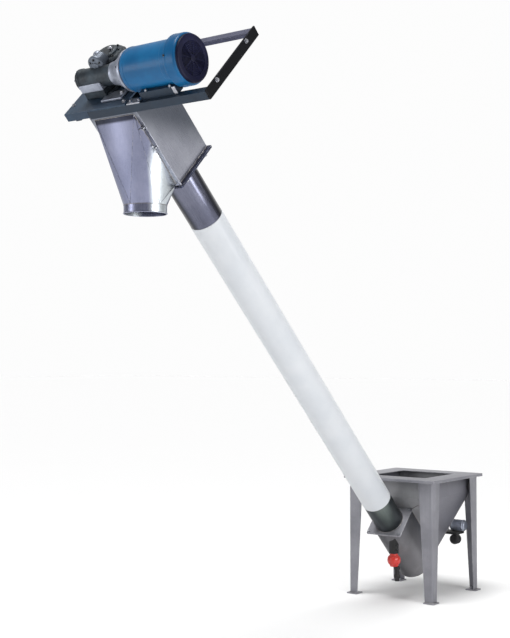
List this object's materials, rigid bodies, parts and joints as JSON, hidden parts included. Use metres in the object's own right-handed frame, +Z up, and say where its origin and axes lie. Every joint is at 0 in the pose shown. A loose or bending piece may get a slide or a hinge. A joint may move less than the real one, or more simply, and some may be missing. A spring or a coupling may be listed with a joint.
{
  "type": "screw conveyor",
  "caption": "Inclined tube screw conveyor with a square charging hopper on four legs, a down spout and a right-angle geared motor on an open frame.",
  "frame": {"origin": "centre of the underside of the front right foot plate", "axes": "+X along the motor towards its fan end, +Z up, and the conveyor tube rises towards -Y"},
  "size_m": [0.909, 3.0528, 2.7571],
  "materials": {
    "stand_grey": "satin",
    "stainless_sheet": "brushed",
    "sleeve_steel": "satin",
    "tube_white": "satin",
    "frame_slate": "satin",
    "plate_slate": "satin",
    "cast_dark": "painted",
    "cast_light": "satin",
    "motor_blue": "gloss",
    "cover_navy": "gloss",
    "auger_steel": "worn",
    "valve_red": "gloss",
    "rubber_black": "matt"
  },
  "bodies": {
    "root": {"auger_flight": "auger_steel", "auger_shaft": "auger_steel", "charging_trough": "stand_grey", "chute_flange": "stainless_sheet", "conduit_box": "motor_blue", "conveyor_tube": "tube_white", "discharge_chute": "stainless_sheet", "discharge_sleeve": "stainless_sheet", "drive_plate": "plate_slate", "frame_cross_left": "frame_slate", "frame_cross_right": "frame_slate", "frame_end_bar": "frame_slate", "frame_rail_back": "frame_slate", "frame_rail_front": "frame_slate", "gear_base": "cast_light", "gear_case": "cast_dark", "hopper_rim": "stand_grey", "hopper_wall_back": "stand_grey", "hopper_wall_front": "stand_grey", "hopper_wall_left": "stand_grey", "hopper_wall_right": "stand_grey", "housing_end_plate": "stainless_sheet", "housing_shell": "stainless_sheet", "housing_top_plate": "stainless_sheet", "inlet_flange": "stand_grey", "inlet_sleeve": "sleeve_steel", "input_adapter": "cast_light", "leg_back_left": "stand_grey", "leg_back_right": "stand_grey", "leg_front_left": "stand_grey", "leg_front_right": "stand_grey", "motor_body": "motor_blue", "motor_cradle_back": "frame_slate", "motor_cradle_front": "frame_slate", "motor_fan_cover": "cover_navy", "motor_rail_inner": "frame_slate", "spout_ring": "stainless_sheet", "trough_tail_plate": "stand_grey", "valve_body": "valve_red", "valve_mount": "rubber_black", "valve_outlet": "rubber_black", "vibrator_body": "cast_light", "vibrator_bracket": "rubber_black", "vibrator_rotor": "rubber_black", "worm_end_cap": "cast_dark"}
  },
  "joints": []
}
